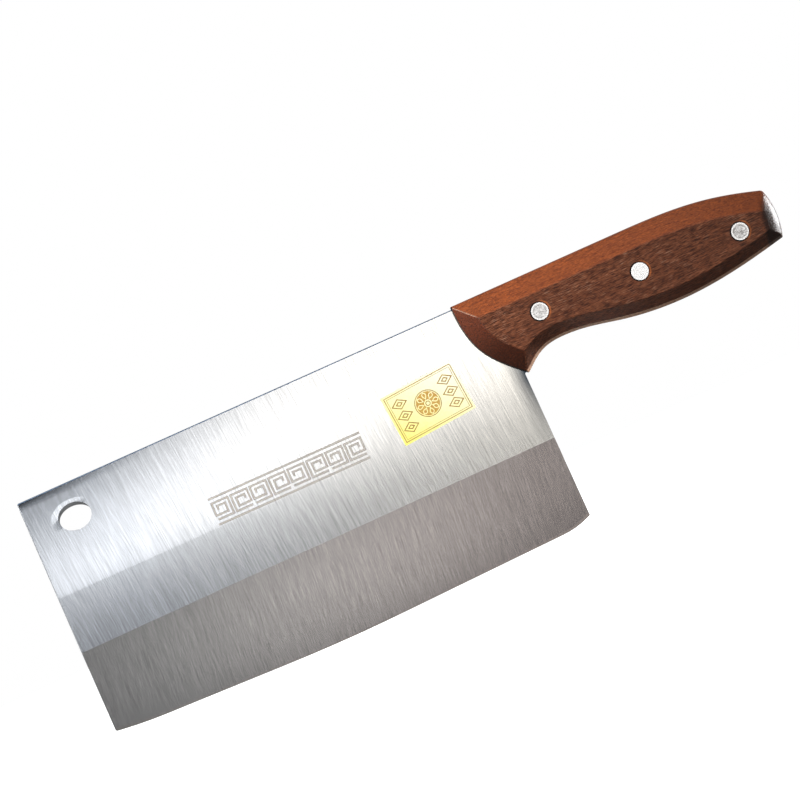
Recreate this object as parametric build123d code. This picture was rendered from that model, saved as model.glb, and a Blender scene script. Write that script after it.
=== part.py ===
# Chinese cleaver: a ground steel blade with a full tang, two faceted wooden
# scales, three two-piece rivets and a paper sticker. All sizes in millimetres.
# It is drawn lying flat: x runs from the front corner of the spine towards the
# butt, y is up from the spine, z stands out from the display side of the blade.

import os
from math import radians, tan

from build123d import *

# Blade plate
blade_length = 209.0         # front corner of the spine to the heel line
blade_thickness = 2.4
front_lean = 0.85            # the toe lies this far ahead of the spine corner
heel_lean = 1.0              # the heel lies this far behind the spine end
rim_round = 0.4              # radius along the spine, the front and the heel
front_corner_round = 0.8
toe_round = 1.0

# Cutting edge: four nearly straight runs that meet in three long gentle bends
blade_height = 104.7         # spine to where the two middle runs would meet
low_place = 100.2            # behind the front corner of the spine
toe_rise = 4.4               # toe above the lowest point
toe_turn_place = 11.6        # behind the front corner
toe_turn_rise = 2.8
heel_rise = 6.0
heel_turn_ahead = 7.0        # ahead of the heel
heel_turn_rise = 3.2
toe_bend = 9.7               # length of each bend, to either side of its corner
low_bend = 19.1
heel_bend = 6.0

# Grind: both sides taper in a flat from the grind line to a thin edge
grind_depth_front = 65.6     # spine to the grind line at the front
grind_depth_heel = 64.2
edge_thickness = 0.4         # at the lowest point, before honing
honed_height = 0.6           # narrow honed bevel along the edge, at the lowest point
honed_edge_thickness = 0.16

# Hanging hole: an oval punched through, with its wall dished towards the spine
hole_behind_front = 19.8
hole_below_spine = 14.7
hole_length = 14.0
hole_height = 9.7
hole_dish = 1.6              # how much higher the oval is at the display face
hole_dish_shift = 0.2        # how far the dish leans to the front

# Handle outline, from the nose where the wood crosses the spine
nose_ahead = 16.55           # nose ahead of the heel line
nose_rise = 1.15             # wood above the spine
handle_length = 134.6        # nose to the corners of the butt
top_level_length = 74.0
top_fall_ahead = 22.1        # a point where the top curves down, ahead of the butt
top_fall_drop = 2.5
butt_top_drop = 8.3
butt_height = 20.7
butt_bulge = 1.7
groove_place = 37.4          # top of the finger groove, behind the nose
grip_height = 29.15          # handle at the top of the groove
swell_behind_groove = 54.6   # lowest point of the palm swell
swell_depth = 6.15           # below the top of the groove, as are the depths that follow
swell_start_behind_groove = 24.6
swell_start_depth = 3.8
groove_bend_ahead = 10.0     # where the groove turns down to the guard
groove_bend_depth = 1.7
guard_ahead_of_groove = 18.95
guard_depth = 8.05           # point of the wood behind the heel
nose_bow = 5.8               # how far the front of the wood bows towards the blade
guard_front_slope = 0.85     # how steeply the front runs down into the point
guard_under_slope = 0.8      # how steeply the underside leaves it
butt_under_slope = 0.22      # rise of the underside as it meets the butt
butt_top_slope = 0.33        # fall of the top as it meets the butt
heel_fillet = 0.6            # steel between the heel line and the wood

# Scales
scale_thickness = 9.0
wall_height = 2.2            # steep part of a scale beside the tang
wall_draft = 0.5             # how far it leans in over that height
under_draft = 1.1            # the same under the grip, where fingers wrap
top_facet = 8.5              # width of each facet in the side view
front_facet = 8.1
under_facet = 5.6
butt_facet = 5.0
ridge_round = 0.6            # where two facets meet
butt_top_round = 2.2         # the same at the top of the butt
face_ease = 0.2              # height of the narrow eased edge around the flat
rail_steps = 4               # stretches of each side that a facet's inner line follows
smooth_turn = 5.0            # degrees; sides that turn less than this run on smoothly

# Rivets, spaced evenly in a row that drops slightly towards the butt
rivet_count = 3
rivet_first_place = 32.45    # behind the nose
rivet_first_drop = 16.3
rivet_last_ahead = 15.3     # ahead of the butt
rivet_last_drop = 19.85
head_diameter = 7.5
head_thickness = 1.8
head_rim = 0.2               # bevel round the head
head_recess = 0.3            # head below the flat of the scale
head_gap = 0.15              # around the head in its counterbore
shank_diameter = 5.0
shank_gap = 0.1              # around the shank in wood and steel
shank_end_gap = 0.4          # before the head of the other half
pin_diameter = 3.0
pin_gap = 0.02               # around the pin in its tube
pin_short = 4.2              # pin ends this far under the other head
pin_end_gap = 0.4            # bore of the tube beyond the pin

# Sticker
label_length = 32.4
label_height = 21.8
label_thickness = 0.12
label_ahead = 40.4           # its middle, ahead of the heel line
label_below_spine = 30.6
label_tilt = 4.8             # degrees
label_corner = 0.4

cut_past = 5.0               # how far holes and cuts are drawn past what they go through

face_height = blade_thickness / 2
scale_top = face_height + scale_thickness
head_seat = scale_top - head_recess - head_thickness
nose_place = blade_length - nose_ahead
guard_place = groove_place - guard_ahead_of_groove
guard_drop = grip_height + guard_depth


def bend_radius(before, corner, after, length):
    """Radius that rounds a corner from the given length before it."""
    return length / tan(radians((corner - before).get_angle(after - corner)) / 2)


def cutting_edge():
    def at(place, rise):
        return Vector(place, rise - blade_height)

    heel_place = blade_length + heel_lean
    corners = [
        at(-front_lean, toe_rise),
        at(toe_turn_place, toe_turn_rise),
        at(low_place, 0),
        at(heel_place - heel_turn_ahead, heel_turn_rise),
        at(heel_place, heel_rise),
    ]
    turns = zip(corners, corners[1:], corners[2:], (toe_bend, low_bend, heel_bend))
    return FilletPolyline(*corners, radius=[bend_radius(*turn) for turn in turns])


def blade_outline():
    """The blade without its tang."""
    edge = cutting_edge()
    corner, end = Vector(0, 0), Vector(blade_length, 0)
    outline = make_face([Line(corner, edge @ 0), *edge.edges(), Line(edge @ 1, end), Line(end, corner)])
    return fillet(outline.vertices().sort_by_distance(edge @ 0)[0], toe_round)


def handle_sides():
    """The sides of the handle outline, in order, with the wood on their left."""
    nose = Vector(nose_place, nose_rise)

    def at(place, drop):
        return nose + Vector(place, -drop)

    def under(behind_groove, depth):
        return at(groove_place + behind_groove, grip_height + depth)

    guard, groove = at(guard_place, guard_drop), under(0, 0)
    groove_bend = under(-groove_bend_ahead, groove_bend_depth)
    swell_start = under(swell_start_behind_groove, swell_start_depth)
    swell = under(swell_behind_groove, swell_depth)
    butt_top = at(handle_length, butt_top_drop)
    butt_low = at(handle_length, butt_top_drop + butt_height)
    crest = at(top_level_length, 0)
    nose_middle = (nose + guard) / 2 - left_of((guard - nose).normalized()) * nose_bow
    butt_middle = (butt_low + butt_top) / 2 + Vector(butt_bulge, 0)
    fall = at(handle_length - top_fall_ahead, top_fall_drop)
    level, up = Vector(1, 0), Vector(0, 1)
    return [
        Spline(nose, nose_middle, guard, tangents=(-up, Vector(1, -guard_front_slope))),
        Spline(guard, groove_bend, groove, tangents=(Vector(1, guard_under_slope), level)),
        Spline(groove, swell_start, swell, butt_low, tangents=(level, Vector(1, butt_under_slope))),
        ThreePointArc(butt_low, butt_middle, butt_top),
        Spline(butt_top, fall, crest, tangents=(Vector(-1, butt_top_slope), -level)),
        Line(crest, nose),
    ]


def left_of(direction):
    return Vector(-direction.Y, direction.X)


def beside(side, share, width):
    """A point the given width inside a side, level with a share of its length."""
    return side @ share + left_of(side % share) * width


def rail(side, width):
    """A line the given width inside a side, running on past both of its ends."""
    start = beside(side, 0, width) - (side % 0) * width
    end = beside(side, 1, width) + (side % 1) * width
    if side.geom_type == GeomType.LINE:
        return Line(start, end)
    between = [beside(side, i / rail_steps, width) for i in range(rail_steps + 1)]
    return Spline(start, *between, end, tangents=(side % 0, side % 1))


def is_sharp(before, after):
    return (before % 1).get_angle(after % 0) > smooth_turn


def moved_in(sides, widths):
    """The same outline with each side moved in by its own width."""
    rails = [rail(side, width) for side, width in zip(sides, widths)]
    corners = []
    for i, side in enumerate(sides):
        if is_sharp(sides[i - 1], side):
            corners.append(rails[i - 1].find_intersection_points(rails[i])[0])
        else:
            corners.append(beside(side, 0, widths[i]))
    ends = [*corners[1:], corners[0]]
    return [line.trim(start, end) for line, start, end in zip(rails, corners, ends)]


def eased(sides):
    """The face inside the sides, rounded at each sharp corner where a side begins."""
    rounds = ridge_round, ridge_round, ridge_round, ridge_round, butt_top_round, ridge_round
    face = make_face(sides)
    for i, (side, radius) in enumerate(zip(sides, rounds)):
        if is_sharp(sides[i - 1], side):
            face = fillet(face.vertices().sort_by_distance(side @ 0)[0], radius)
    return face


def rod(radius, low, high):
    """An upright cylinder from one height to another."""
    return Pos(Z=low) * Cylinder(radius, high - low, align=(Align.CENTER, Align.CENTER, Align.MIN))


def shank_hole():
    reach = scale_top + cut_past
    return rod(shank_diameter / 2 + shank_gap, -reach, reach)


def rivet_places():
    first = Vector(nose_place + rivet_first_place, nose_rise - rivet_first_drop)
    last = Vector(nose_place + handle_length - rivet_last_ahead, nose_rise - rivet_last_drop)
    return [first + (last - first) * i / (rivet_count - 1) for i in range(rivet_count)]


def grind_cutter():
    """Everything outside the ground flat of the display side."""
    front = Vector(0, -grind_depth_front, face_height)
    heel = Vector(blade_length, -grind_depth_heel, face_height)
    low = Vector(low_place, -blade_height, edge_thickness / 2)
    flat = Plane(origin=front, x_dir=heel - front, z_dir=(low - front).cross(heel - front))
    reach = blade_length + cut_past
    return flat * Box(2 * reach, 2 * reach, blade_thickness, align=(Align.CENTER, Align.CENTER, Align.MIN))


def hanging_hole():
    through = Ellipse(hole_length / 2, hole_height / 2)
    dish = Pos(-hole_dish_shift, hole_dish / 2) * Ellipse(hole_length / 2, (hole_height + hole_dish) / 2)
    place = Pos(hole_behind_front, -hole_below_spine)
    return place * loft([Pos(Z=-face_height) * through, Pos(Z=face_height) * dish], ruled=True)


def upright_edge(body, point):
    """The edge through the plate at a point of its outline."""
    return body.edges().filter_by(Axis.Z).sort_by_distance(point)[0]


def rim_edges(plate):
    """The long edges of both faces along the spine, the front and the heel."""
    flat_edges = plate.edges().filter_by(lambda edge: abs(edge.center().Z) > face_height / 2)
    heel_middle = Vector(blade_length, -grind_depth_heel)
    return [edge for edge in flat_edges if edge.center().X < nose_place and edge.center().Y > heel_middle.Y]


def honing_cutter():
    """Everything outside the honed bevel of the display side."""
    edge = cutting_edge()
    below = Vector(0, -blade_height)
    start, end = edge @ 0, edge @ 1
    strip = make_face([*edge.edges(), Line(end, end + below), Line(end + below, start + below),
                       Line(start + below, start)])
    honed_slope = Vector(0, honed_height, (edge_thickness - honed_edge_thickness) / 2)
    return extrude(Pos(Z=honed_edge_thickness / 2) * strip, blade_height - grind_depth_heel, dir=honed_slope)


def blade():
    outline = blade_outline() + eased(handle_sides())
    plate = extrude(Pos(Z=-face_height) * outline, blade_thickness)
    plate = fillet(upright_edge(plate, Vector(blade_length, nose_rise - guard_drop)), heel_fillet)
    plate = fillet(upright_edge(plate, Vector(0, 0)), front_corner_round)
    plate = fillet(rim_edges(plate), rim_round)
    for cutter in grind_cutter(), honing_cutter():
        plate -= [cutter, mirror(cutter, about=Plane.XY)]
    plate -= hanging_hole()
    for place in rivet_places():
        plate -= Pos(place.X, place.Y) * shank_hole()
    return plate


def facet_lines(share):
    """The handle outline moved in to the facets, and across them by a share of each."""
    widths = front_facet, under_facet, under_facet, butt_facet, top_facet, top_facet
    drafts = wall_draft, under_draft, under_draft, wall_draft, wall_draft, wall_draft
    return moved_in(handle_sides(), [draft + share * (width - draft) for draft, width in zip(drafts, widths)])


def front_scale():
    wall_top = face_height + wall_height
    ease = face_ease / (scale_top - wall_top)
    scale = loft([Pos(Z=face_height) * eased(handle_sides()),
                  Pos(Z=wall_top) * eased(facet_lines(0)),
                  Pos(Z=scale_top - face_ease) * eased(facet_lines(1 - ease)),
                  Pos(Z=scale_top) * eased(facet_lines(1 + ease))], ruled=True)
    for place in rivet_places():
        counterbore = rod(head_diameter / 2 + head_gap, head_seat, scale_top + cut_past)
        scale -= Pos(place.X, place.Y) * (shank_hole() + counterbore)
    return scale


def rivet_head():
    head = rod(head_diameter / 2, head_seat, head_seat + head_thickness)
    return chamfer(head.edges().sort_by(Axis.Z)[-1], head_rim)


def rivet_tube():
    """Half with the hollow shank, its head on the display side."""
    low_end = -head_seat + shank_end_gap
    shank = rod(shank_diameter / 2, low_end, head_seat)
    bore = rod(pin_diameter / 2 + pin_gap, low_end, head_seat - pin_short + pin_end_gap)
    return rivet_head() + shank - bore


def rivet_pin():
    """Half with the solid shank, pressed in from the far side."""
    return mirror(rivet_head(), about=Plane.XY) + rod(pin_diameter / 2, -head_seat, head_seat - pin_short)


def label():
    sheet = extrude(RectangleRounded(label_length, label_height, label_corner), label_thickness)
    return Pos(blade_length - label_ahead, -label_below_spine, face_height) * Rot(Z=label_tilt) * sheet


def pieces():
    scale = front_scale()
    named = {
        "blade": blade(),
        "front_scale": scale,
        "rear_scale": mirror(scale, about=Plane.XY),
        "label": label(),
    }
    for i, place in enumerate(rivet_places(), start=1):
        named[f"rivet_tube_{i}"] = Pos(place.X, place.Y) * rivet_tube()
        named[f"rivet_pin_{i}"] = Pos(place.X, place.Y) * rivet_pin()
    return named


def main():
    upright = Plane(origin=(0, 0, 0), x_dir=(1, 0, 0), z_dir=(0, -1, 0))
    standing = {name: upright.location * shape for name, shape in pieces().items()}
    box = Compound(list(standing.values())).bounding_box()
    home = Pos(-box.center().X, 0, -box.min.Z)
    os.makedirs("parts", exist_ok=True)
    for name, shape in standing.items():
        export_step(home * shape, f"parts/{name}.step")
    print("origin in the drawing", box.center().X, box.min.Z, "size", box.size)


main()
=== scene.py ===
import math

import bmesh
import bpy
from mathutils import Matrix, Vector


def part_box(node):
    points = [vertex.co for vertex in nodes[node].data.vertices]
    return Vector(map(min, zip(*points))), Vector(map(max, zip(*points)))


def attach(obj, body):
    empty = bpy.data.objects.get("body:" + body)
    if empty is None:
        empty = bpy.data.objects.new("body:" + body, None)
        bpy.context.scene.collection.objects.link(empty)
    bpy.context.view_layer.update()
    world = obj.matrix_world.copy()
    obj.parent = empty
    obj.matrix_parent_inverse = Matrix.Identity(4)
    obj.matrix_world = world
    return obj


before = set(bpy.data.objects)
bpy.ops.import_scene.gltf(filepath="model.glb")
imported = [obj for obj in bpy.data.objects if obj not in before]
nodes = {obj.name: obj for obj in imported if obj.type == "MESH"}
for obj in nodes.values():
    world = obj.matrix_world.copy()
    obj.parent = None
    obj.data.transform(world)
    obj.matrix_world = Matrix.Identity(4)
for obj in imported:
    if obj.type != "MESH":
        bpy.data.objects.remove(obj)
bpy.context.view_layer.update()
mm = 0.001
noiseLow, noiseHigh = 0.3, 0.7              # most of a noise lies between these values
print("frame loaded:", ", ".join(sorted(nodes)))


def linearColour(code):
    # "#rrggbb" as seen on screen, turned to the linear values that shaders use
    channels = [int(code[i:i + 2], 16) / 255 for i in (1, 3, 5)]
    return (*[c / 12.92 if c <= 0.04045 else ((c + 0.055) / 1.055) ** 2.4 for c in channels], 1.0)


def addNode(tree, kind, inputs=(), **settings):
    # inputs are numbers, colours, sockets or nodes, by name or in the order of the sockets in use;
    # a node stands for its first output in use
    node = tree.nodes.new(kind)
    for name, value in settings.items():
        setattr(node, name, value)
    inUse = [socket for socket in node.inputs if socket.enabled]
    pairs = inputs.items() if isinstance(inputs, dict) else enumerate(inputs)
    for key, value in pairs:
        socket = inUse[key] if isinstance(key, int) else node.inputs[key]
        if isinstance(value, bpy.types.Node):
            value = next(output for output in value.outputs if output.enabled)
        if isinstance(value, bpy.types.NodeSocket):
            tree.links.new(value, socket)
        else:
            socket.default_value = value
    return node


def newMaterial(name):
    material = bpy.data.materials.new(name)
    material.use_nodes = True
    material.node_tree.nodes.clear()
    return material, material.node_tree


# where the front corner of the spine is; materials measure from it in millimetres:
# x behind it, y through the knife, z below it
bladeLow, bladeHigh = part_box("blade")
toeLead, woodRise = 0.8425, 1.15            # toe ahead of that corner, wood above the spine
spineCorner = Vector((bladeLow.x + toeLead * mm, 0, bladeHigh.z - woodRise * mm))


def knifePlace(tree):
    coordinates = addNode(tree, "ShaderNodeTexCoord")
    return addNode(tree, "ShaderNodeMapping", {
        "Vector": coordinates.outputs["Object"],
        "Scale": (1 / mm, 1 / mm, -1 / mm),
        "Location": (-spineCorner.x / mm, 0, spineCorner.z / mm),
    })


def inKnife(point):
    # the same for a fixed point, without its depth through the knife
    return (point.x - spineCorner.x) / mm, 0, (spineCorner.z - point.z) / mm


# camera: square to the blade, a long lens from three metres, the knife rolled with its butt up
view = {
    "distance": 3.0,
    "shownWidth": 323.7 * mm,               # of the plane of the blade, across the picture
    "middle": (158.8, 24.8),                # picture centre: mm behind the corner, mm below the spine
    "roll": 24.11,                          # degrees
}


def makeCamera():
    data = bpy.data.cameras.new("camera")
    data.sensor_width = 36
    data.lens = data.sensor_width * view["distance"] / view["shownWidth"]
    camera = bpy.data.objects.new("camera", data)
    behind, below = view["middle"]
    roll = math.radians(view["roll"])
    right = Vector((math.cos(roll), 0, -math.sin(roll)))
    up = Vector((math.sin(roll), 0, math.cos(roll)))
    turn = Matrix((right, up, Vector((0, -1, 0)))).transposed().to_4x4()
    middle = spineCorner + Vector((behind * mm, 0, -below * mm))
    camera.matrix_world = Matrix.Translation(middle - Vector((0, view["distance"], 0))) @ turn
    bpy.context.scene.collection.objects.link(camera)
    bpy.context.scene.camera = camera
    return middle


pictureMiddle = makeCamera()
print("camera placed")

# lights, in metres from the blade at the middle of the picture:
# x along the knife to its butt, y away from the camera, z up; a mirrored glow of 1 shows as white
lights = {
    # the blade mirrors this strip; its lower edge is the soft line across the middle of the blade
    "bladeStrip": {"place": (0.02, -0.70, 0.018), "aim": (0.02, 0.0, 0.018), "size": (0.50, 0.070),
                   "glow": 2.5},
    # dimmer ones for the ground part of the blade, the steel beside the heel and the honed edge
    "bevelPanel": {"place": (-0.05, -0.70, -0.103), "aim": (-0.05, 0.0, -0.103), "size": (0.15, 0.05),
                   "glow": 1.6},
    "heelPanel": {"place": (0.053, -0.70, -0.055), "aim": (0.053, 0.0, -0.055), "size": (0.05, 0.03),
                  "glow": 1.75},
    "edgePanel": {"place": (0.05, -0.60, -0.36), "aim": (0.0, 0.0, -0.08), "size": (0.5, 0.14), "glow": 0.45},
    # low ones for the underside of the grip, and behind the hole for its wall
    "gripPanel": {"place": (0.12, -0.40, -0.60), "aim": (0.10, 0.0, 0.0), "size": (0.5, 0.2), "glow": 1.8},
    "holePanel": {"place": (-0.12, 0.30, -0.50), "aim": (-0.14, 0.0, 0.01), "size": (0.3, 0.3), "glow": 1.0},
    # two softboxes above, the strong one beyond the nose
    "topSoftbox": {"place": (0.05, -0.45, 0.75), "aim": (0.10, 0.0, 0.0), "size": (1.0, 0.7), "glow": 2.3},
    "noseSoftbox": {"place": (-0.75, -0.75, 0.50), "aim": (0.10, 0.0, 0.0), "size": (0.8, 0.6), "glow": 11.5},
    # beyond the butt, which throws it back at the camera
    "buttSoftbox": {"place": (0.85, 0.34, 0.02), "aim": (0.15, 0.0, 0.0), "size": (0.4, 0.3), "glow": 45.0},
}
# large dim cards round the knife, mirrored by its shiny parts only, so that the steel isn't black
# from other sides; turns are degrees round it from the camera
cards = {"away": 1.7, "below": 0.45, "size": 1.6, "glow": 0.55, "turns": (-48, 48, 90, 135, 180, 225, 270)}


def addLight(name, place, aim, size, glow):
    data = bpy.data.lights.new(name, "AREA")
    data.shape = "RECTANGLE"
    data.size, data.size_y = size
    data.energy = glow * math.pi * data.size * data.size_y
    light = bpy.data.objects.new(name, data)
    light.location = pictureMiddle + Vector(place)
    light.rotation_euler = (Vector(aim) - Vector(place)).to_track_quat("-Z", "Y").to_euler()
    light.visible_camera = False
    bpy.context.scene.collection.objects.link(light)
    return light


def makeLights():
    for name, lamp in lights.items():
        addLight(name, **lamp)
    for turn in cards["turns"]:
        angle = math.radians(turn)
        place = (cards["away"] * math.sin(angle), -cards["away"] * math.cos(angle), -cards["below"])
        side = cards["size"]
        card = addLight(f"card{turn % 360}", place, (0.0, 0.0, 0.0), (side, side), cards["glow"])
        card.visible_diffuse = False


makeLights()

studio = {
    "backdrop": "#ffffff",
    "overhead": "#79828d",                  # the dim room that the metal mirrors
    "below": "#4c4b4a",
    "heights": (-0.4, 0.6),                 # of a direction, between which one becomes the other
    "table": "#f4f4f2",
    "tableGlow": 1.05,                      # keeps the table as white as the backdrop
    "tableSide": 4.0,
}


def makeStudio():
    world = bpy.data.worlds.new("studio")
    bpy.context.scene.world = world
    world.use_nodes = True
    tree = world.node_tree
    tree.nodes.clear()
    around = addNode(tree, "ShaderNodeTexCoord").outputs["Generated"]
    direction = addNode(tree, "ShaderNodeSeparateXYZ", [around])
    low, high = studio["heights"]
    height = addNode(tree, "ShaderNodeMapRange", {
        "Value": direction.outputs["Z"], "From Min": low, "From Max": high,
    })
    room = addNode(tree, "ShaderNodeMix", [
        height, linearColour(studio["below"]), linearColour(studio["overhead"]),
    ], data_type="RGBA")
    seen = addNode(tree, "ShaderNodeLightPath")
    lit = addNode(tree, "ShaderNodeBackground", {"Color": room})
    shown = addNode(tree, "ShaderNodeBackground", {"Color": linearColour(studio["backdrop"])})
    both = addNode(tree, "ShaderNodeMixShader", [seen.outputs["Is Camera Ray"], lit, shown])
    addNode(tree, "ShaderNodeOutputWorld", {"Surface": both})

    side = studio["tableSide"] / 2
    mesh = bpy.data.meshes.new("table")
    corners = [(-side, -side, 0), (side, -side, 0), (side, side, 0), (-side, side, 0)]
    mesh.from_pydata(corners, [], [(0, 1, 2, 3)])
    table = bpy.data.objects.new("table", mesh)
    bpy.context.scene.collection.objects.link(table)
    # matt white card that glows a little, so it shows as plain as the backdrop
    material, tree = newMaterial("mattWhiteCard")
    shader = addNode(tree, "ShaderNodeBsdfPrincipled", {
        "Base Color": linearColour(studio["table"]),
        "Roughness": 0.8,
        "Emission Color": linearColour(studio["table"]),
        "Emission Strength": studio["tableGlow"],
    })
    addNode(tree, "ShaderNodeOutputMaterial", {"Surface": shader})
    mesh.materials.append(material)
    # its bounce would wash out the dark underside, and it would hide the panels that stand lower
    table.visible_diffuse = table.visible_glossy = table.visible_shadow = False


makeStudio()
bpy.context.scene.view_settings.view_transform = "Standard"
print("studio lit")

# blade: stainless sheet, brushed across with a coarse belt, then ground finer to the edge
blade = {
    "coolEnd": "#c9ccd1",                   # above the grind line, at the front and at the heel
    "warmEnd": "#dcd7ce",
    "coolGround": "#bcb9b6",                # below it
    "warmGround": "#bcb0aa",
    "grindDepth": 65.6,                     # mm below the spine, at the front
    "grindRise": 1.4 / 209.0,               # the line rises towards the heel
    # belt marks: degrees that they lean, then width and length in mm and contrast of each layer;
    # the real ones are a third as wide, these show in the picture
    "beltMarks": {"lean": 4.5, "layers": ((0.3, 26.0, 0.10), (0.36, 6.0, 0.07), (1.4, 60.0, 0.02))},
    "groundMarks": {"lean": -4.5, "layers": ((0.34, 9.0, 0.09), (0.36, 1.2, 0.05), (1.6, 40.0, 0.02))},
    "holePlace": (19.8, 13.9),
    "holeHalf": (7.0, 4.85),
    # where the sheet rolls away: mm that it reaches, how steep it gets, how it curves,
    # and where it has faded towards the heel
    "sheetRoll": {"reach": 42.0, "steep": 0.036, "power": 1.25, "fade": 150.0},
    "spineRoll": {"reach": 4.0, "steep": 0.04, "power": 2.0, "fade": 60.0},
    "holeRoll": {"reach": 2.4, "steep": 0.045, "power": 1.2},
    # the punch drew in only the front upper side of the hole: mm from its middle, along the way
    # that goes down and a little back
    "drawnInSide": {"way": (0.5, 0, 1), "full": -5.0, "none": -1.0},
    # painted shade along the heel, strongest under the wood, and painted dark reflection along the front of
    # the spine, and a painted blue-grey reflection on the rim
    "heelLine": 209.6,
    "bandsFullTo": 0.4,                     # mm in from the line or the rim
    "heelShade": {"reach": 7.6, "from": 38.0, "to": 68.0, "colour": "#3b4148"},
    "spineShade": {"reach": 3.4, "from": 1.0, "to": 38.0, "colour": "#23282e"},
    # painted blue-grey reflection on the rim
    "rim": {"reach": 0.45, "colour": "#5f6f84"},
    "warming": (30.0, 200.0),               # mm behind the front, from the cool end to the warm one
    "roughness": 0.22,
    "anisotropy": 0.75,
    # the walls left by the punch and the shear, and where the punch drew the sheet in
    "sheared": {"wall": "#5c5f63", "drawnIn": "#a6a8aa", "roughness": 0.48, "flatness": (0.2, 0.6)},
    "flatFrom": 0.9,                        # a face this square to the camera is brushed
}


def bladeRoll(tree, place, behind, below):
    # height in mm lost where the sheet rolls away at its rims, which bends the highlights there
    middle, half = blade["holePlace"], blade["holeHalf"]
    local = addNode(tree, "ShaderNodeVectorMath", [place, (middle[0], 0, middle[1])], operation="SUBTRACT")
    even = addNode(tree, "ShaderNodeVectorMath", [local, (1 / half[0], 0, 1 / half[1])], operation="MULTIPLY")
    ringWay = addNode(tree, "ShaderNodeVectorMath", [even], operation="LENGTH")
    fromHole = addNode(tree, "ShaderNodeMath", [ringWay, half[1], -half[1]], operation="MULTIPLY_ADD")
    side = blade["drawnInSide"]
    downWay = addNode(tree, "ShaderNodeVectorMath", [local, side["way"]], operation="DOT_PRODUCT")
    drawnIn = addNode(tree, "ShaderNodeMapRange", {
        "Value": downWay, "From Min": side["full"], "From Max": side["none"], "To Min": 1.0, "To Max": 0.0,
    })
    total = 0.0
    for distance, share, roll in (
        (below, None, blade["sheetRoll"]),
        (below, None, blade["spineRoll"]),
        (fromHole, drawnIn, blade["holeRoll"]),
    ):
        share = share or addNode(tree, "ShaderNodeMapRange", {
            "Value": behind, "From Max": roll["fade"], "To Min": 1.0, "To Max": 0.0,
        })
        near = addNode(tree, "ShaderNodeMapRange", {
            "Value": distance, "From Max": roll["reach"], "To Min": 1.0, "To Max": 0.0,
        })
        curve = addNode(tree, "ShaderNodeMath", [near, roll["power"]], operation="POWER")
        depth = roll["steep"] / roll["power"] * roll["reach"]
        drop = addNode(tree, "ShaderNodeMath", [curve, -depth], operation="MULTIPLY")
        total = addNode(tree, "ShaderNodeMath", [drop, share, total], operation="MULTIPLY_ADD")
    return total


def beltMarks(tree, place, marks):
    # a tone near one, with a layer of scratches for each width
    tone = 1.0
    for width, length, contrast in marks["layers"]:
        turned = addNode(tree, "ShaderNodeMapping", {
            "Vector": place, "Rotation": (0, math.radians(marks["lean"]), 0), "Scale": (width, width, length),
        }, vector_type="TEXTURE")
        scratches = addNode(tree, "ShaderNodeTexNoise", {"Vector": turned, "Scale": 1.0, "Detail": 0.0})
        change = addNode(tree, "ShaderNodeMapRange", {
            "Value": scratches, "From Min": noiseLow, "From Max": noiseHigh,
            "To Min": -contrast, "To Max": contrast,
        }, clamp=False)
        tone = addNode(tree, "ShaderNodeMath", [change, tone], operation="ADD")
    return tone


def paintedShadeBands(tree, behind, below):
    # layers of painted shade along the heel and painted dark reflection along the spine
    toLine = addNode(tree, "ShaderNodeMath", [blade["heelLine"], behind], operation="SUBTRACT")
    layers = []
    for band, inward, along in ((blade["heelShade"], toLine, below), (blade["spineShade"], below, behind)):
        across, fading = [
            addNode(tree, "ShaderNodeMapRange", {
                "Value": value, "From Min": full, "From Max": none, "To Min": 1.0, "To Max": 0.0,
            })
            for value, full, none in (
                (inward, blade["bandsFullTo"], band["reach"]), (along, band["from"], band["to"]),
            )
        ]
        share = addNode(tree, "ShaderNodeMath", [across, fading], operation="MULTIPLY")
        layers.append((share, linearColour(band["colour"])))
    return layers


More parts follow.
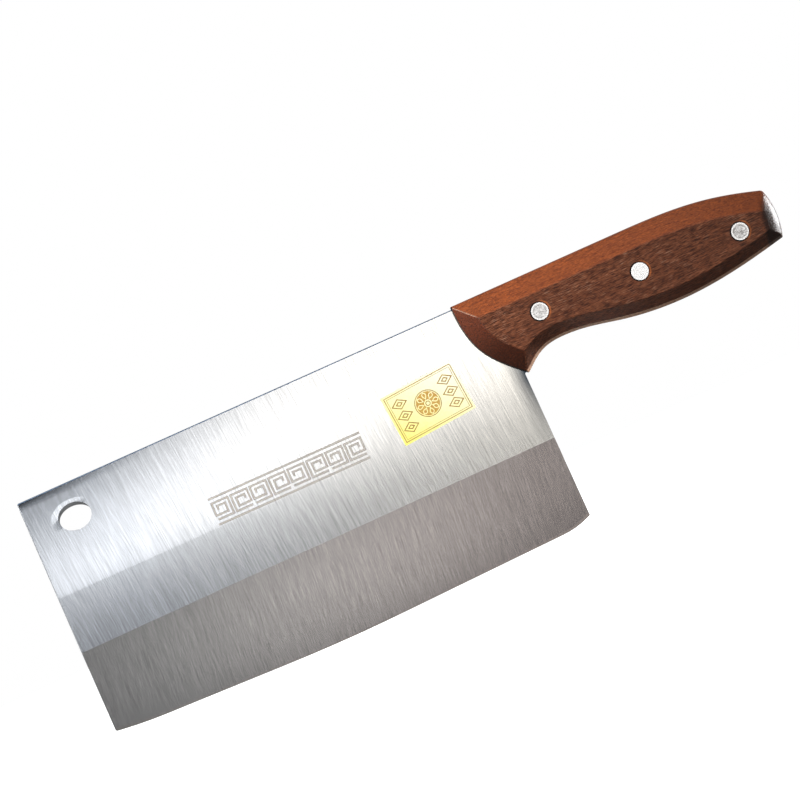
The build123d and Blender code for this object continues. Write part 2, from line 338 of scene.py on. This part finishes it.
def brushedStainless():
    # bright, with soft highlights drawn out square to the belt marks, darker and warmer where it is ground
    material, tree = newMaterial("brushedStainless")
    place = knifePlace(tree)
    parts = addNode(tree, "ShaderNodeSeparateXYZ", [place])
    behind, below = parts.outputs["X"], parts.outputs["Z"]
    level = addNode(tree, "ShaderNodeMath", [behind, blade["grindRise"], below], operation="MULTIPLY_ADD")
    ground = addNode(tree, "ShaderNodeMath", [level, blade["grindDepth"]], operation="GREATER_THAN")
    coolPlace, warmPlace = blade["warming"]
    toHeel = addNode(tree, "ShaderNodeMapRange", {
        "Value": behind, "From Min": coolPlace, "From Max": warmPlace,
    })
    upper, lower = [
        addNode(tree, "ShaderNodeMix", [toHeel, linearColour(blade[cool]), linearColour(blade[warm])],
                data_type="RGBA")
        for cool, warm in (("coolEnd", "warmEnd"), ("coolGround", "warmGround"))
    ]

    # the walls that the punch and the shear left aren't brushed
    normal = addNode(tree, "ShaderNodeNewGeometry").outputs["True Normal"]
    faces = addNode(tree, "ShaderNodeSeparateXYZ", [normal])
    flatness = addNode(tree, "ShaderNodeMath", [faces.outputs["Y"]], operation="ABSOLUTE")
    isSheared = addNode(tree, "ShaderNodeMath", [flatness, blade["flatFrom"]], operation="LESS_THAN")
    wall, drawn = blade["sheared"]["flatness"]
    isDrawnIn = addNode(tree, "ShaderNodeMapRange", {"Value": flatness, "From Min": wall, "From Max": drawn})
    sheared = addNode(tree, "ShaderNodeMix", [
        isDrawnIn, linearColour(blade["sheared"]["wall"]), linearColour(blade["sheared"]["drawnIn"]),
    ], data_type="RGBA")
    inRim = addNode(tree, "ShaderNodeMath", [below, blade["rim"]["reach"]], operation="LESS_THAN")

    colour = upper
    for share, over in (
        (ground, lower),
        # painted shade along the heel, painted dark reflection along the front of the spine
        *paintedShadeBands(tree, behind, below),
        (isSheared, sheared),
        # painted blue-grey reflection on the rim
        (inRim, linearColour(blade["rim"]["colour"])),
    ):
        colour = addNode(tree, "ShaderNodeMix", [share, colour, over], data_type="RGBA")
    marks = addNode(tree, "ShaderNodeMix", [
        ground, beltMarks(tree, place, blade["beltMarks"]), beltMarks(tree, place, blade["groundMarks"]),
    ])
    roll = bladeRoll(tree, place, behind, below)
    shader = addNode(tree, "ShaderNodeBsdfPrincipled", {
        "Base Color": addNode(tree, "ShaderNodeMix", [1.0, colour, marks], data_type="RGBA",
                              blend_type="MULTIPLY"),
        "Metallic": 1.0,
        "Roughness": addNode(tree, "ShaderNodeMix", [
            isSheared, blade["roughness"], blade["sheared"]["roughness"],
        ]),
        "Normal": addNode(tree, "ShaderNodeBump", {"Height": roll, "Distance": mm, "Strength": 1.0}),
        "Anisotropic": blade["anisotropy"],
        "Tangent": addNode(tree, "ShaderNodeCombineXYZ", [1.0, 0.0, 0.0]),
    })
    addNode(tree, "ShaderNodeOutputMaterial", {"Surface": shader})
    return material


def dress(nodeName, material):
    mesh = nodes[nodeName].data
    mesh.materials.clear()
    mesh.materials.append(material)


dress("blade", brushedStainless())
print("blade brushed")

# rivets: soft aluminium, turned, then scratched when the scales were sanded
rivets = {
    "bright": "#f1eeea",
    "dull": "#8f8b87",
    "tones": {"1": 0.75, "2": 0.12, "3": 1.0},    # how dull each one has become, from nose to butt
    "dentSize": 1.5,                        # mm
    "dentRange": (0.4, 0.62),               # values of its noise, and how dull it gets between them
    "dentShare": (0.35, 0.85),
    "scratch": (0.35, 3.0),                 # mm wide and long
    "scratchRange": (0.5, 0.66),
    "scratchLean": (35.0, 60.0),            # degrees, and how much more on a dull head
    "scratchDepth": 0.004,                  # mm
    "ringPlace": 2.5,                       # mm from the middle, where the turning tool left a ring
    "ringHalf": 0.18,
    "ringShare": 0.25,
    "headHalf": 3.75,
    "brightRim": (0.9, 0.5),                # mm in from the edge, between which the dull middle ends
}


def turnedAluminium(name, place, dullness):
    # near white and softly mirror-like, with a grey scratched middle, a faint turned ring and a bright rim
    material, tree = newMaterial(name)
    knife = knifePlace(tree)
    local = addNode(tree, "ShaderNodeVectorMath", [knife, inKnife(place)], operation="SUBTRACT")
    flat = addNode(tree, "ShaderNodeVectorMath", [local, (1, 0, 1)], operation="MULTIPLY")
    radius = addNode(tree, "ShaderNodeVectorMath", [flat], operation="LENGTH")
    dents = addNode(tree, "ShaderNodeTexNoise", {
        "Vector": knife, "Scale": 1 / rivets["dentSize"], "Detail": 2.0,
    })
    width, length = rivets["scratch"]
    lean, moreLean = rivets["scratchLean"]
    turned = addNode(tree, "ShaderNodeMapping", {
        "Vector": local, "Rotation": (0, math.radians(lean + moreLean * dullness), 0),
        "Scale": (width, width, length),
    }, vector_type="TEXTURE")
    scratches = addNode(tree, "ShaderNodeTexNoise", {"Vector": turned, "Scale": 1.0, "Detail": 1.0})
    ring = addNode(tree, "ShaderNodeMath", [radius, rivets["ringPlace"], rivets["ringHalf"]],
                   operation="COMPARE")
    rimIn, rimOut = rivets["brightRim"]
    inside = addNode(tree, "ShaderNodeMapRange", {
        "Value": radius, "From Min": rivets["headHalf"] - rimIn, "From Max": rivets["headHalf"] - rimOut,
        "To Min": 1.0, "To Max": 0.0,
    })
    (dentLow, dentHigh), (dentLeast, dentMost) = rivets["dentRange"], rivets["dentShare"]
    rough = addNode(tree, "ShaderNodeMapRange", {
        "Value": dents, "From Min": dentLow, "From Max": dentHigh, "To Min": dentLeast, "To Max": dentMost,
    })
    lineLow, lineHigh = rivets["scratchRange"]
    lines = addNode(tree, "ShaderNodeMapRange", {
        "Value": scratches, "From Min": lineLow, "From Max": lineHigh,
    })
    worst = addNode(tree, "ShaderNodeMath", [rough, lines], operation="MAXIMUM")
    marked = addNode(tree, "ShaderNodeMath", [ring, rivets["ringShare"], worst], operation="MULTIPLY_ADD",
                     use_clamp=True)
    share = addNode(tree, "ShaderNodeMath", [marked, inside], operation="MULTIPLY")
    dulled = addNode(tree, "ShaderNodeMath", [share, dullness], operation="MULTIPLY")
    shader = addNode(tree, "ShaderNodeBsdfPrincipled", {
        "Base Color": addNode(tree, "ShaderNodeMix", [
            dulled, linearColour(rivets["bright"]), linearColour(rivets["dull"]),
        ], data_type="RGBA"),
        "Metallic": 1.0,
        "Roughness": 0.24,
        "Normal": addNode(tree, "ShaderNodeBump", {
            "Height": share, "Distance": rivets["scratchDepth"] * mm, "Strength": 1.0,
        }),
    })
    addNode(tree, "ShaderNodeOutputMaterial", {"Surface": shader})
    return material


for number, dullness in rivets["tones"].items():
    low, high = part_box("rivet_tube_" + number)
    aluminium = turnedAluminium("turnedAluminium" + number, (low + high) / 2, dullness)
    dress("rivet_tube_" + number, aluminium)
    dress("rivet_pin_" + number, aluminium)
print("rivets turned")

# scales: a plain reddish hardwood, sanded and oiled
scales = {
    "pore": "#3a1d11",
    "grain": "#60331e",
    "pale": "#7f4a30",
    # pale scuffs on the flat, and the painted highlight along the nose ridge
    "scuffAndHighlight": "#a17c66",
    "facet": "#8a441c",                     # painted light: the top facet is brighter and more orange, as if lit from above
    "facetPore": "#6c3113",
    "front": "#6b321b",
    "frontPore": "#3a1a0d",
    "grimeAndShade": "#130906",                     # dark for painted shadow, with some grime, in the gap round each rivet, and painted shade against the blade and before the butt
    "litLip": "#9c5830",                       # painted highlight on the lit wall round each rivet, on the side of the butt
    "underWallLight": "#c79c80",                      # painted light on the wall under the grip, as if lit from below
    # mm along and across: the figure of the plank, its pores and the finest fibres
    "grainSize": (45.0, 1.6),
    "poreSize": (4.0, 0.3),                 # real pores are half as wide
    "fibreSize": (1.1, 0.4),
    "fibreShade": (0.78, 1.22),
    "scuffSize": 7.0,                       # mm, the rubbed patches
    "grainLean": 1.5,                       # degrees, the grain rises towards the butt
    "poreDepth": 0.03,                      # mm
    # values of the noise between which each one comes up
    "figureRange": (0.32, 0.68),
    "poreRange": (0.36, 0.54),
    "glintRange": (0.56, 0.72),
    "scuffRange": (0.46, 0.66),
    # each side of the grip: the axis of a face's normal, and between which values a face turns into it
    "onTop": ("Z", 0.15, 0.5),
    "underneath": ("Z", -0.1, -0.5),
    "onFront": ("X", -0.2, -0.5),
    "onButt": ("X", 0.55, 0.7),
    "wall": 3.4,                            # mm from the middle: the steep part beside the tang ends here
    # round a rivet, in mm from the rim of its head: the gap with its painted shadow, then the lip with its
    # painted highlight, and half its width
    "rivetGap": 0.4,
    "rivetLip": (0.55, 0.3),
    # mm behind its middle, between which the painted highlight of the lip comes up, and the painted shadow of
    # the gap
    "lipSide": (0.5, 3.0),
    "gapSide": (3.0, -1.0),
    # the ridge of the nose, with a painted highlight along it, in mm behind the front and below the spine
    "noseRidge": {"start": (193.2, -0.5), "end": (200.6, 6.9), "core": 0.1, "width": 0.3, "share": 0.7},
    # painted shade, in mm behind the front and below the spine: darker towards the butt, darker down the
    # front facet towards the blade, and a dark band before the butt
    "endShade": {"from": 215.0, "to": 330.0, "shade": 0.6},
    "tipShade": {"from": 6.0, "to": 32.0, "shade": 0.12},
    "buttBand": {"line": 325.3, "lean": 0.174, "soft": 0.7, "from": 9.0, "to": 16.0, "share": 0.8},
    # the butt is rubbed round towards its ridge: mm from the middle, and how steep it gets
    "ridgeRoll": {"from": 10.2, "to": 4.0, "steep": 0.62},
    "roughness": 0.42,
    "buttRoughness": 0.26,                  # sanded finer than the rest
}


def woodNoises(tree, place):
    # figure, pores and fibres, all drawn out along the grain
    return [
        addNode(tree, "ShaderNodeTexNoise", {
            "Vector": addNode(tree, "ShaderNodeMapping", {
                "Vector": place, "Rotation": (0, math.radians(scales["grainLean"]), 0),
                "Scale": (length, width, width),
            }, vector_type="TEXTURE"),
            "Scale": 1.0,
            "Detail": detail,
            "Roughness": 0.6,
        })
        for (length, width), detail in (
            (scales["grainSize"], 4.0), (scales["poreSize"], 1.0), (scales["fibreSize"], 0.0),
        )
    ]


def rivetGaps(tree, place):
    # layers of painted shadow with some grime, and of painted highlight, round each rivet
    layers = []
    for number in rivets["tones"]:
        low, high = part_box("rivet_tube_" + number)
        away = addNode(tree, "ShaderNodeVectorMath", [place, inKnife((low + high) / 2)], operation="SUBTRACT")
        flatAway = addNode(tree, "ShaderNodeVectorMath", [away, (1, 0, 1)], operation="MULTIPLY")
        radius = addNode(tree, "ShaderNodeVectorMath", [flatAway], operation="LENGTH")
        along = addNode(tree, "ShaderNodeSeparateXYZ", [away])
        buttSide, noseSide = [
            addNode(tree, "ShaderNodeMapRange", {"Value": along, "From Min": start, "From Max": end})
            for start, end in (scales["lipSide"], scales["gapSide"])
        ]
        litLip, lipHalf = scales["rivetLip"]
        head = rivets["headHalf"]
        onLip = addNode(tree, "ShaderNodeMath", [radius, head + litLip, lipHalf], operation="COMPARE")
        inGap = addNode(tree, "ShaderNodeMath", [radius, head + scales["rivetGap"]], operation="LESS_THAN")
        for share, side, code in ((onLip, buttSide, "litLip"), (inGap, noseSide, "grimeAndShade")):
            layers.append((addNode(tree, "ShaderNodeMath", [share, side], operation="MULTIPLY"),
                           linearColour(scales[code])))
    return layers


def noseGlint(tree, place):
    # how much of the painted highlight shows along the ridge of the nose
    ridge = scales["noseRidge"]
    (startX, startZ), (endX, endZ) = ridge["start"], ridge["end"]
    span = math.hypot(endX - startX, endZ - startZ)
    along = ((endX - startX) / span, 0, (endZ - startZ) / span)
    across = (-along[2], 0, along[0])
    fromStart = addNode(tree, "ShaderNodeVectorMath", [place, (startX, 0, startZ)], operation="SUBTRACT")
    alongRidge, offRidge = [
        addNode(tree, "ShaderNodeVectorMath", [fromStart, direction], operation="DOT_PRODUCT")
        for direction in (along, across)
    ]
    nearRidge = addNode(tree, "ShaderNodeMapRange", {
        "Value": addNode(tree, "ShaderNodeMath", [offRidge], operation="ABSOLUTE"),
        "From Min": ridge["core"], "From Max": ridge["width"], "To Min": ridge["share"], "To Max": 0.0,
    })
    within = addNode(tree, "ShaderNodeMath", [alongRidge, span / 2, span / 2], operation="COMPARE")
    return addNode(tree, "ShaderNodeMath", [nearRidge, within], operation="MULTIPLY")


def buttShade(tree, behind, below):
    # how much painted shade shows in the band before the butt, which leans with it and fades upwards
    band = scales["buttBand"]
    leaning = addNode(tree, "ShaderNodeMath", [below, band["lean"], behind], operation="MULTIPLY_ADD")
    pastLine = addNode(tree, "ShaderNodeMapRange", {
        "Value": leaning, "From Min": band["line"] - band["soft"], "From Max": band["line"] + band["soft"],
        "To Max": band["share"],
    })
    lowEnough = addNode(tree, "ShaderNodeMapRange", {
        "Value": below, "From Min": band["from"], "From Max": band["to"],
    })
    return addNode(tree, "ShaderNodeMath", [pastLine, lowEnough], operation="MULTIPLY")


def oiledHardwood():
    # dark brown with short dark pores along the grain, nearly matt, with painted light making the top facet
    # orange
    material, tree = newMaterial("oiledHardwood")
    place = knifePlace(tree)
    grain, pore, fibre = woodNoises(tree, place)
    patch = addNode(tree, "ShaderNodeTexNoise", {
        "Vector": place, "Scale": 1 / scales["scuffSize"], "Detail": 2.0,
    })
    figure, pores, glints, rubbed = [
        addNode(tree, "ShaderNodeMapRange", {
            "Value": noise, "From Min": scales[ends][0], "From Max": scales[ends][1],
            "To Min": least, "To Max": most,
        })
        for noise, ends, least, most in (
            (grain, "figureRange", 0.0, 1.0),
            (pore, "poreRange", 0.0, 1.0),
            (pore, "glintRange", 0.0, 0.7),
            (patch, "scuffRange", 0.15, 1.0),
        )
    ]
    scuffs = addNode(tree, "ShaderNodeMath", [glints, rubbed], operation="MULTIPLY")

    parts = addNode(tree, "ShaderNodeSeparateXYZ", [place])
    behind, through, below = parts.outputs["X"], parts.outputs["Y"], parts.outputs["Z"]
    fromMiddle = addNode(tree, "ShaderNodeMath", [through], operation="ABSOLUTE")
    normal = addNode(tree, "ShaderNodeNewGeometry").outputs["True Normal"]
    faces = addNode(tree, "ShaderNodeSeparateXYZ", [normal])
    onTop, underneath, onFront, onButt = [
        addNode(tree, "ShaderNodeMapRange", {
            "Value": faces.outputs[axis], "From Min": least, "From Max": most,
        })
        for axis, least, most in (
            scales["onTop"], scales["underneath"], scales["onFront"], scales["onButt"],
        )
    ]
    inWall = addNode(tree, "ShaderNodeMath", [fromMiddle, scales["wall"]], operation="LESS_THAN")
    onLitUnderWall = addNode(tree, "ShaderNodeMath", [inWall, underneath], operation="MULTIPLY")
    creaseShade = addNode(tree, "ShaderNodeMath", [inWall, onFront], operation="MULTIPLY")

    # the plain colour of each side of the grip, then what lies over it
    plank = addNode(tree, "ShaderNodeMix", [
        figure, linearColour(scales["grain"]), linearColour(scales["pale"]),
    ], data_type="RGBA")
    flat, front, facet = [
        addNode(tree, "ShaderNodeMix", [pores, linearColour(scales[dark]), paler], data_type="RGBA")
        for dark, paler in (
            ("pore", plank),
            ("frontPore", linearColour(scales["front"])),
            ("facetPore", linearColour(scales["facet"])),
        )
    ]
    colour = flat
    for share, over in (
        (scuffs, linearColour(scales["scuffAndHighlight"])),
        (onFront, front),
        # painted light: the top facet in a brighter orange
        (onTop, facet),
        # painted shadow with some grime in the gap round each rivet, painted highlight on its butt side
        *rivetGaps(tree, place),
        # painted light on the wall under the grip
        (onLitUnderWall, linearColour(scales["underWallLight"])),
        # painted shadow where the front facet meets the blade
        (creaseShade, linearColour(scales["grimeAndShade"])),
        # painted shade in the band before the butt
        (buttShade(tree, behind, below), linearColour(scales["grimeAndShade"])),
        # painted highlight along the ridge of the nose
        (noseGlint(tree, place), linearColour(scales["scuffAndHighlight"])),
    ):
        colour = addNode(tree, "ShaderNodeMix", [share, colour, over], data_type="RGBA")

    # painted shade: darker towards the butt, and on the front facet darker towards the blade
    toButt, toTip = [
        addNode(tree, "ShaderNodeMapRange", {
            "Value": value, "From Min": scales[code]["from"], "From Max": scales[code]["to"],
            "To Min": 1.0, "To Max": scales[code]["shade"],
        })
        for value, code in ((behind, "endShade"), (below, "tipShade"))
    ]
    frontShade = addNode(tree, "ShaderNodeMix", [onFront, 1.0, toTip])
    darkest, palest = scales["fibreShade"]
    fibreShade = addNode(tree, "ShaderNodeMapRange", {
        "Value": fibre, "From Min": noiseLow, "From Max": noiseHigh,
        "To Min": darkest, "To Max": palest,
    }, clamp=False)
    for shade in (toButt, frontShade, fibreShade):
        colour = addNode(tree, "ShaderNodeMix", [1.0, colour, shade], data_type="RGBA", blend_type="MULTIPLY")

    # pores are cut into the surface; the ridge of the butt facet is rubbed round, so it stays dark there
    roll = scales["ridgeRoll"]
    nearRidge = addNode(tree, "ShaderNodeMapRange", {
        "Value": fromMiddle, "From Min": roll["to"], "From Max": roll["from"],
    })
    curve = addNode(tree, "ShaderNodeMath", [nearRidge, 2.0], operation="POWER")
    onlyButt = addNode(tree, "ShaderNodeMath", [curve, onButt], operation="MULTIPLY")
    depth = roll["steep"] * (roll["from"] - roll["to"]) / 2
    drop = addNode(tree, "ShaderNodeMath", [onlyButt, -depth], operation="MULTIPLY")
    height = addNode(tree, "ShaderNodeMath", [pores, scales["poreDepth"], drop], operation="MULTIPLY_ADD")
    shader = addNode(tree, "ShaderNodeBsdfPrincipled", {
        "Base Color": colour,
        "Roughness": addNode(tree, "ShaderNodeMix", [onButt, scales["roughness"], scales["buttRoughness"]]),
        "IOR": 1.5,
        "Normal": addNode(tree, "ShaderNodeBump", {"Height": height, "Distance": mm, "Strength": 1.0}),
        "Specular IOR Level": 0.18,
    })
    addNode(tree, "ShaderNodeOutputMaterial", {"Surface": shader})
    return material


wood = oiledHardwood()
dress("front_scale", wood)
dress("rear_scale", wood)
print("scales oiled")

# sticker: coated paper, printed
labelLow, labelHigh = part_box("label")
sticker = {
    "pale": "#feffea",                      # upper corner near the handle
    "gold": "#fdee74",                      # opposite corner
    "fade": (0.55, 0.83),                   # direction of the change, along and up
    "fadeHalf": 18.0,                       # mm
    "mottleSize": 0.9,                      # mm
    "mottleShift": 9.0,                     # mm that it moves the change to gold
    "mottleDepth": 0.01,                    # mm
    "inkMottle": 0.5,                       # mm
    "ink": "#8a5518",
    "tint": "#b98640",
    "size": (32.4, 21.8),
    "tilt": 4.8,                            # degrees
    "inkThick": 0.012,                      # mm; real ink is thinner, this still shows as printed
    "borders": ((1.1, 0.34), (1.9, 0.2)),   # inset and width of each line
    # radius, the part of it that its ground covers, the gap outside that, then its petals and inner ring
    "rosette": {"radius": 5.4, "ground": 0.62, "rim": 0.5, "petals": 8, "petalFrom": 1.9, "petalGap": 0.8,
                "petalHalf": 0.8, "innerRing": 0.9, "steps": 48},
    "lozenge": (6.4, 4.2),                  # the larger of each pair, in a column on each side
    "inner": 0.4,                           # size of the smaller one, as a part of it
    "column": 10.4,                         # middle of a column, from the middle of the sticker
    "row": 5.2,
    "line": 0.42,
    "fineLine": 0.34,
}


def paperTilt():
    # turns mm along and up the sticker into the place of its printed face
    turn = Matrix.Rotation(math.radians(-sticker["tilt"]), 4, "Y")
    middle = (labelLow + labelHigh) / 2
    return Matrix.Translation((middle.x, labelLow.y, middle.z)) @ turn


def coatedPaper():
    # pale yellow paper with a soft sheen, golden towards one corner, faintly mottled
    material, tree = newMaterial("coatedPaper")
    coordinates = addNode(tree, "ShaderNodeTexCoord").outputs["Object"]
    along, up = sticker["fade"]
    middle = (labelLow + labelHigh) / 2
    fromMiddle = addNode(tree, "ShaderNodeVectorMath", [coordinates, tuple(middle)], operation="SUBTRACT")
    way = addNode(tree, "ShaderNodeVectorMath", [fromMiddle, (along / mm, 0, up / mm)],
                  operation="DOT_PRODUCT")
    mottle = addNode(tree, "ShaderNodeTexNoise", {
        "Vector": coordinates, "Scale": 1 / (sticker["mottleSize"] * mm), "Detail": 3.0,
    })
    shift, half = sticker["mottleShift"], sticker["fadeHalf"]
    uneven = addNode(tree, "ShaderNodeMath", [mottle, shift, way], operation="MULTIPLY_ADD")
    share = addNode(tree, "ShaderNodeMapRange", {
        "Value": uneven, "From Min": shift / 2 - half, "From Max": shift / 2 + half,
    })
    shader = addNode(tree, "ShaderNodeBsdfPrincipled", {
        "Base Color": addNode(tree, "ShaderNodeMix", [
            share, linearColour(sticker["gold"]), linearColour(sticker["pale"]),
        ], data_type="RGBA"),
        "Roughness": 0.35,
        "IOR": 1.5,
        "Normal": addNode(tree, "ShaderNodeBump", {
            "Height": mottle, "Distance": sticker["mottleDepth"] * mm, "Strength": 1.0,
        }),
        "Specular IOR Level": 0.5,
    })
    addNode(tree, "ShaderNodeOutputMaterial", {"Surface": shader})
    return material


def printedInk(name, code):
    # flat brown ink that covers unevenly
    material, tree = newMaterial(name)
    mottle = addNode(tree, "ShaderNodeTexNoise", {
        "Vector": addNode(tree, "ShaderNodeTexCoord").outputs["Object"],
        "Scale": 1 / (sticker["inkMottle"] * mm), "Detail": 2.0,
    })
    cover = addNode(tree, "ShaderNodeMapRange", {
        "Value": mottle, "From Min": 0.35, "From Max": 0.65, "To Max": 0.3,
    })
    shader = addNode(tree, "ShaderNodeBsdfPrincipled", {
        "Base Color": addNode(tree, "ShaderNodeMix", [
            cover, linearColour(code), linearColour(sticker["gold"]),
        ], data_type="RGBA"),
        "Roughness": 0.4,
        "IOR": 1.5,
        "Specular IOR Level": 0.3,
    })
    addNode(tree, "ShaderNodeOutputMaterial", {"Surface": shader})
    return material


def sideways(direction):
    return Vector((-direction.y, direction.x))


def ribbonPiece(name, strokes, width, thick, base, material):
    # thin flat bands along strokes of points in mm; a stroke that ends where it starts is closed
    vertices, faces = [], []
    for stroke in strokes:
        points = [Vector(point) for point in stroke]
        closed = (points[0] - points[-1]).length < 0.001
        if closed:
            points.pop()
        count, first = len(points), len(vertices)
        for i, point in enumerate(points):
            before = point - points[i - 1] if closed or i > 0 else points[1] - point
            after = points[(i + 1) % count] - point if closed or i < count - 1 else before
            before, after = before.normalized(), after.normalized()
            side = sideways(before + after).normalized()
            reach = width / 2 / max(side.dot(sideways(after)), 0.5)
            for across, height in ((1, thick), (-1, thick), (-1, 0), (1, 0)):
                spot = point + side * across * reach
                vertices.append(base @ Vector((spot.x * mm, -height * mm, spot.y * mm)))
        for i in range(count if closed else count - 1):
            here, there = first + 4 * i, first + 4 * ((i + 1) % count)
            faces += [(here + k, here + (k + 1) % 4, there + (k + 1) % 4, there + k) for k in range(4)]
        if not closed:
            last = first + 4 * (count - 1)
            faces += [tuple(range(first + 3, first - 1, -1)), tuple(range(last, last + 4))]
    mesh = bpy.data.meshes.new(name)
    mesh.from_pydata(vertices, [], faces)
    shape = bmesh.new()
    shape.from_mesh(mesh)
    bmesh.ops.recalc_face_normals(shape, faces=shape.faces)
    shape.to_mesh(mesh)
    shape.free()
    mesh.materials.append(material)
    piece = bpy.data.objects.new(name, mesh)
    bpy.context.scene.collection.objects.link(piece)
    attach(piece, "root")
    return piece


def arc(centre, radius, start, end, steps):
    # points round part of a circle, angles in degrees
    angles = [math.radians(start + (end - start) * i / steps) for i in range(steps + 1)]
    return [(centre[0] + radius * math.cos(angle), centre[1] + radius * math.sin(angle)) for angle in angles]


def rectangle(halfLength, halfHeight):
    corners = [(-halfLength, -halfHeight), (halfLength, -halfHeight), (halfLength, halfHeight),
               (-halfLength, halfHeight)]
    return corners + corners[:1]


def lozenge(middle, length, height):
    x, y = middle
    corners = [(x - length / 2, y), (x, y - height / 2), (x + length / 2, y), (x, y + height / 2)]
    return corners + corners[:1]


def petal(angle, inner, outer, halfWidth, steps=10):
    # a leaf shape that points away from the middle
    way = Vector((math.cos(angle), math.sin(angle)))
    edge = []
    for i in range(2 * steps + 1):
        share = i / steps if i <= steps else 2 - i / steps
        swell = math.sin(math.pi * share ** 1.4) * halfWidth * (1 if i <= steps else -1)
        edge.append(tuple(way * (inner + (outer - inner) * share) + sideways(way) * swell))
    return edge


def printSticker(paper):
    halfLength, halfHeight = sticker["size"][0] / 2, sticker["size"][1] / 2
    face = paperTilt()
    thick, fine = sticker["inkThick"], sticker["fineLine"]
    ink, tint = printedInk("brownInk", sticker["ink"]), printedInk("tanInk", sticker["tint"])
    for i, (inset, width) in enumerate(sticker["borders"], start=1):
        border = rectangle(halfLength - inset, halfHeight - inset)
        ribbonPiece(f"print_border_{i}", [border], width, thick, face, ink)
    # a rosette in the middle: a tan ground between two rings, with petals that show the paper
    rosette = sticker["rosette"]
    radius, count = rosette["radius"], rosette["petals"]
    ground = rosette["ground"] * radius
    groundRing = arc((0, 0), radius - ground / 2 - rosette["rim"], 0, 360, rosette["steps"])
    ribbonPiece("print_rosette_ground", [groundRing], ground, thick, face, tint)
    tip = radius - rosette["petalGap"]
    petals = [
        petal(2 * math.pi * k / count, rosette["petalFrom"], tip, rosette["petalHalf"]) for k in range(count)
    ]
    ribbonPiece("print_rosette_petals", petals, fine, 2 * thick, face, paper)
    rings = [arc((0, 0), ring, 0, 360, rosette["steps"]) for ring in (rosette["innerRing"], radius)]
    ribbonPiece("print_rosette_rings", rings, fine, 2 * thick, face, ink)
    # three lozenges, each round a smaller one, in a column on each side of it
    length, height = sticker["lozenge"]
    lozenges = [
        lozenge((side * sticker["column"], row * sticker["row"]), length * share, height * share)
        for side in (-1, 1) for row in (-1, 0, 1) for share in (1.0, sticker["inner"])
    ]
    ribbonPiece("print_lozenges", lozenges, sticker["line"], thick, face, ink)


paper = coatedPaper()
dress("label", paper)
printSticker(paper)
print("sticker printed")

# a traditional square-spiral border, etched into the blade as a matt brown-grey mark
etched = {
    "dark": "#6c6053",
    "light": "#cfc5b8",
    "start": (72.0, 39.0),                  # lower front of the band, mm behind the corner and below it
    "cell": 7.0,
    "pitch": 8.4,
    "count": 8,
    "step": 1.75,                           # between turns of a spiral
    "ruleGap": 2.0,                         # from the spirals to the line above and below them
    "rulePast": 0.6,                        # those lines go past the spirals
    "stroke": 0.85,                         # width of the dark line, and of the pale one in it
    "core": 0.34,
    "thick": 0.01,
    "patchSize": 0.625,                     # mm
}


def etchedOxide(name, code):
    # dull oxide in the etched lines, patchy where the acid bit less
    material, tree = newMaterial(name)
    patches = addNode(tree, "ShaderNodeTexNoise", {
        "Vector": knifePlace(tree), "Scale": 1 / etched["patchSize"], "Detail": 3.0,
    })
    share = addNode(tree, "ShaderNodeMapRange", {
        "Value": patches, "From Min": 0.4, "From Max": 0.65, "To Max": 0.35,
    })
    shader = addNode(tree, "ShaderNodeBsdfPrincipled", {
        "Base Color": addNode(tree, "ShaderNodeMix", [
            share, linearColour(code), linearColour(blade["coolEnd"]),
        ], data_type="RGBA"),
        "Metallic": 0.4,
        "Roughness": 0.6,
    })
    addNode(tree, "ShaderNodeOutputMaterial", {"Surface": shader})
    return material


def squareSpiral(left, size, step, flipped):
    # turns inwards from its lower outer corner, one step closer each time round
    points = [(0.0, 0.0)]
    low, high = 0.0, size
    while high - low > step:
        points += [(high, low), (high, high), (low, high), (low, low + step)]
        low, high = low + step, high - step
    return [(left + (size - x if flipped else x), y) for x, y in points]


def etchBorder():
    behind, below = etched["start"]
    base = Matrix.Translation(spineCorner + Vector((behind * mm, bladeLow.y, -below * mm)))
    spirals = [
        squareSpiral(k * etched["pitch"], etched["cell"], etched["step"], k % 2 == 1)
        for k in range(etched["count"])
    ]
    length = etched["pitch"] * (etched["count"] - 1) + etched["cell"]
    past, gap = etched["rulePast"], etched["ruleGap"]
    rules = [[(-past, height), (length + past, height)] for height in (-gap, etched["cell"] + gap)]
    dark, pale = etchedOxide("darkOxide", etched["dark"]), etchedOxide("paleOxide", etched["light"])
    for name, width, thick, material in (
        ("etched_lines", etched["stroke"], etched["thick"], dark),
        ("etched_cores", etched["core"], 2 * etched["thick"], pale),
    ):
        ribbonPiece(name, spirals + rules, width, thick, base, material)


etchBorder()
print("border etched")
